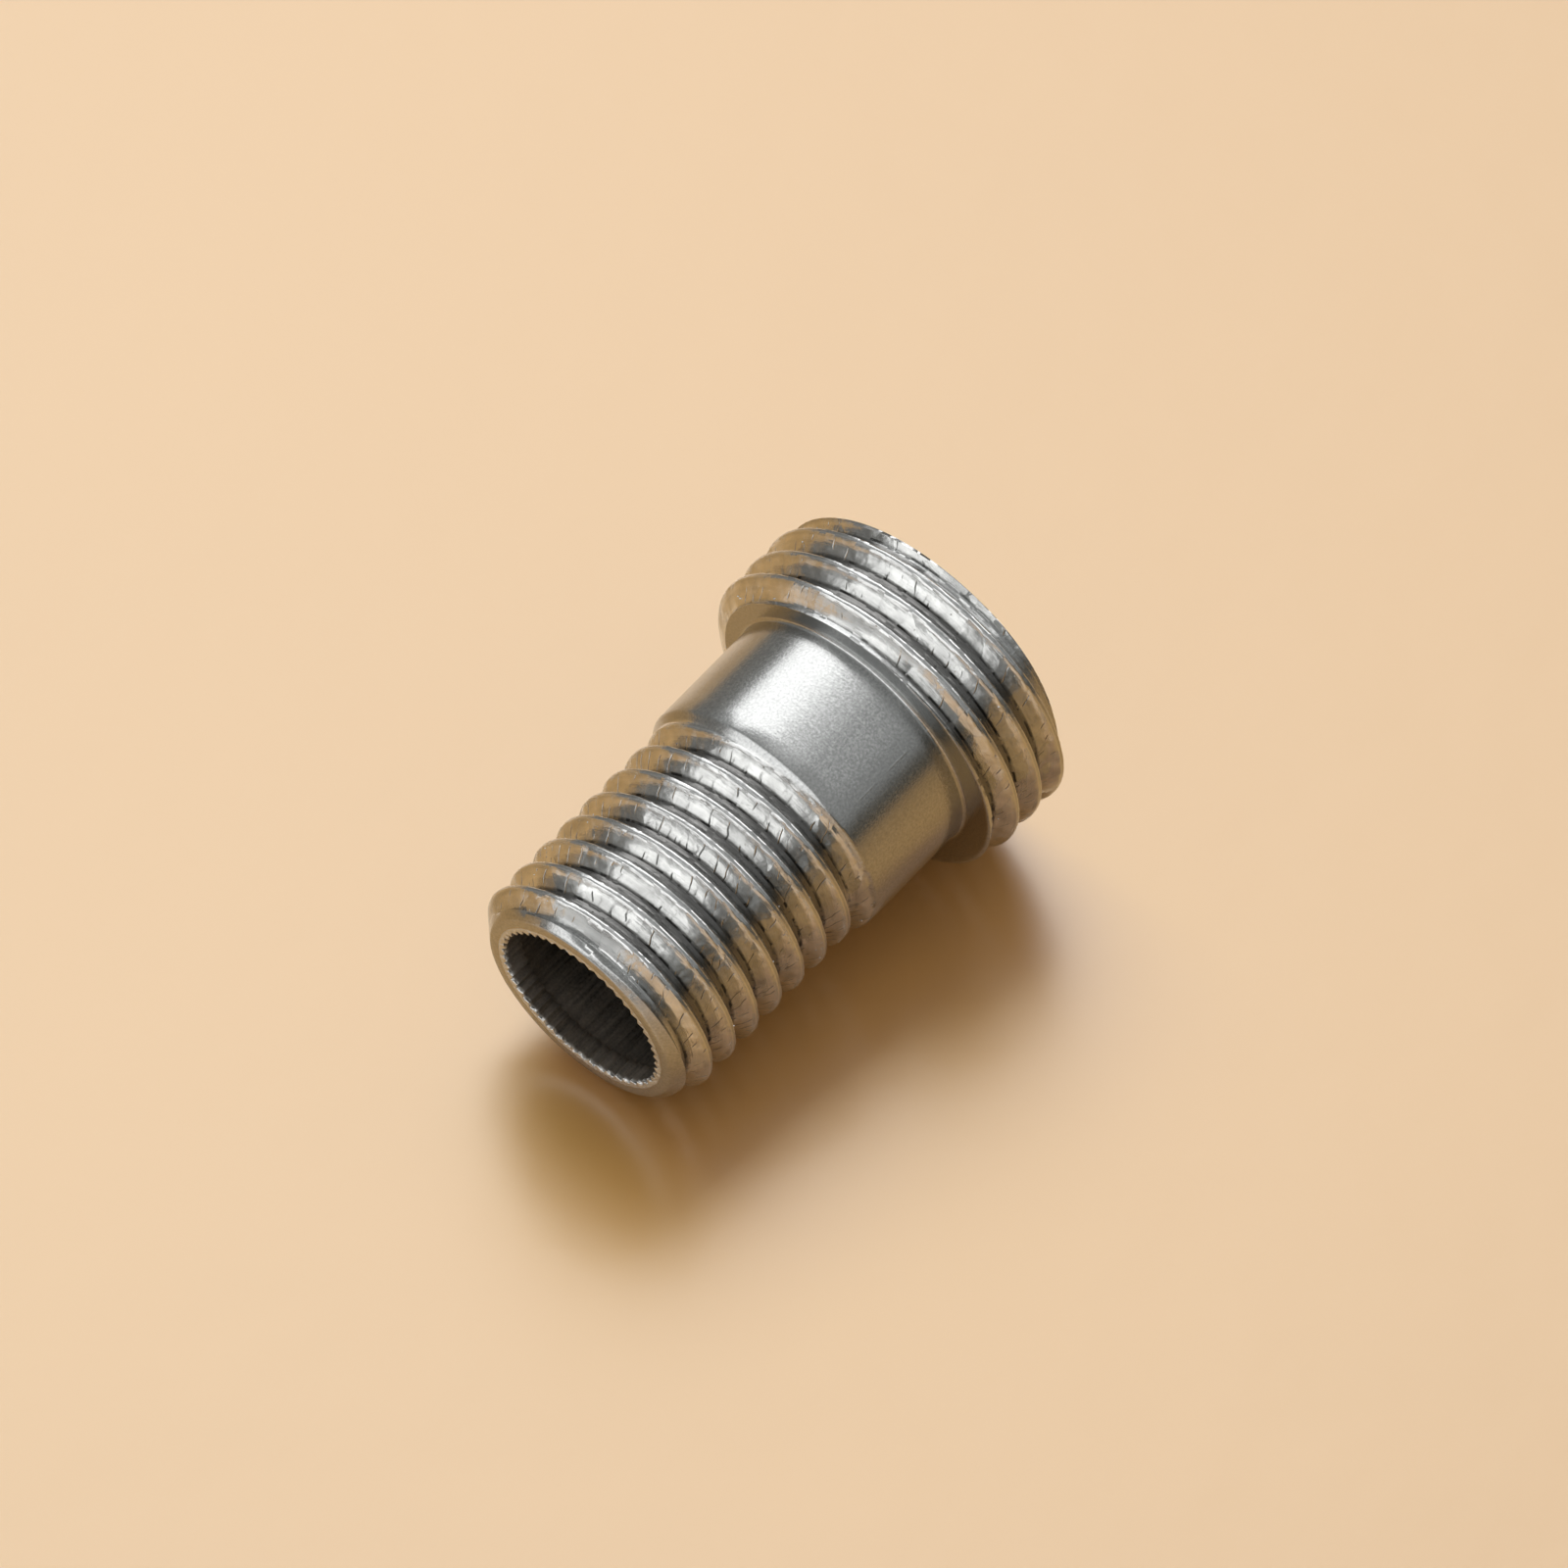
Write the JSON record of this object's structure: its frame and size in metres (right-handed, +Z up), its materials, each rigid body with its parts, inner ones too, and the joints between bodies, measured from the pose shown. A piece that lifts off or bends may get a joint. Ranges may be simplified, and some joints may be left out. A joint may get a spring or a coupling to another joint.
{
  "type": "watch crown tube",
  "caption": "Steel tube for a screw-down watch crown: threaded shank, smooth neck, threaded head with rubber seals inside, serrated bore.",
  "frame": {"origin": "on the tube's axis, in the plane of the seat under the head, where the smooth bore meets the seal pocket", "axes": "+X along the tube's axis towards the crown; +Z up, with the tube lying on its side; +Y completes the right-handed frame"},
  "size_m": [0.0054, 0.0038, 0.0038],
  "materials": {
    "tube_steel": "satin turned steel, with torn and burred thread flanks",
    "ring_steel": "fine turned steel",
    "seal_rubber": "matte black rubber with a thin film of grease"
  },
  "bodies": {
    "root": {"tube_body": "tube_steel", "inner_seal": "seal_rubber", "seal_spacer": "ring_steel", "outer_seal": "seal_rubber", "retaining_collar": "ring_steel"}
  },
  "joints": []
}
